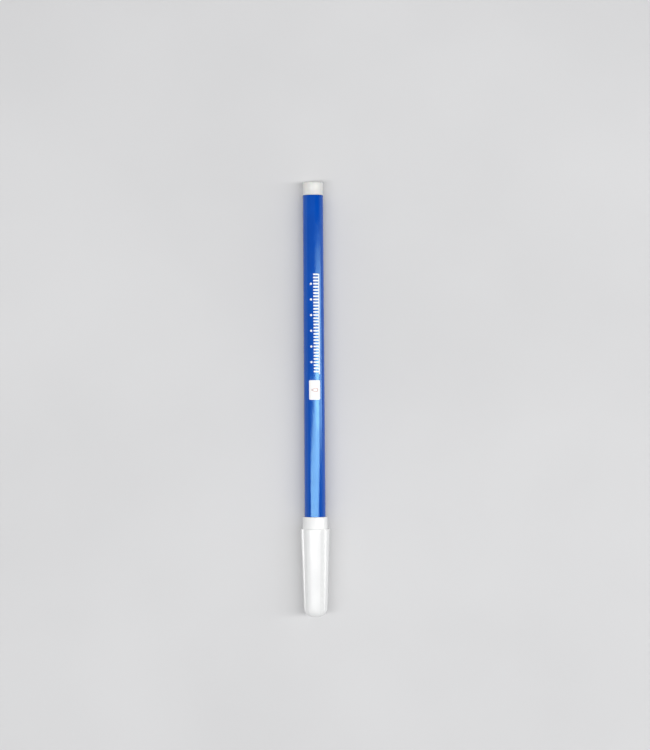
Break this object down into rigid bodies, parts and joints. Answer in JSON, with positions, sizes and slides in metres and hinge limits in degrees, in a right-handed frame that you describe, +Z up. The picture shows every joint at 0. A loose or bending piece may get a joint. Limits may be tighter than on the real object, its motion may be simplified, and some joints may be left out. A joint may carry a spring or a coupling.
{
  "type": "fabric marking pen",
  "caption": "Capped fibre-tip marking pen: slim round barrel with an ogive nose, plugged rear end and a panelled pull-off cap.",
  "frame": {"origin": "on the pen's axis, at half its capped length", "axes": "+Y along the pen's axis from the cap towards the rear plug, +Z up with the pen lying flat, +X to the right"},
  "size_m": [0.0106, 0.16, 0.0106],
  "materials": {
    "barrel_plastic": "glossy moulded blue polypropylene with white print",
    "plug_plastic": "satin moulded white polypropylene",
    "cap_plastic": "semi-gloss moulded white polypropylene",
    "inner_cap_plastic": "soft natural polyethylene",
    "holder_plastic": "satin ivory polypropylene",
    "nib_fibre": "bonded polyester fibre, ink-blue at the point",
    "core_fibre": "ink-soaked polyester fibre",
    "wrap_film": "thin clear film",
    "breather_plastic": "natural thin-walled tube"
  },
  "bodies": {
    "pen": {"barrel": "barrel_plastic", "rear_plug": "plug_plastic", "nib_holder": "holder_plastic", "nib": "nib_fibre", "ink_core": "core_fibre", "core_wrap": "wrap_film", "breather_tube": "breather_plastic"},
    "inner_cap": {"inner_cap": "inner_cap_plastic"},
    "cap": {"cap": "cap_plastic"}
  },
  "joints": [
    {"name": "cap_pull", "type": "slide", "parent": "pen", "child": "inner_cap", "axis": [0, -1, 0], "range_m": [0, 0.04]},
    {"name": "cap_turn", "type": "hinge", "parent": "inner_cap", "child": "cap", "pos_m": [0, -0.0432, 0], "axis": [0, -1, 0], "continuous": true}
  ]
}
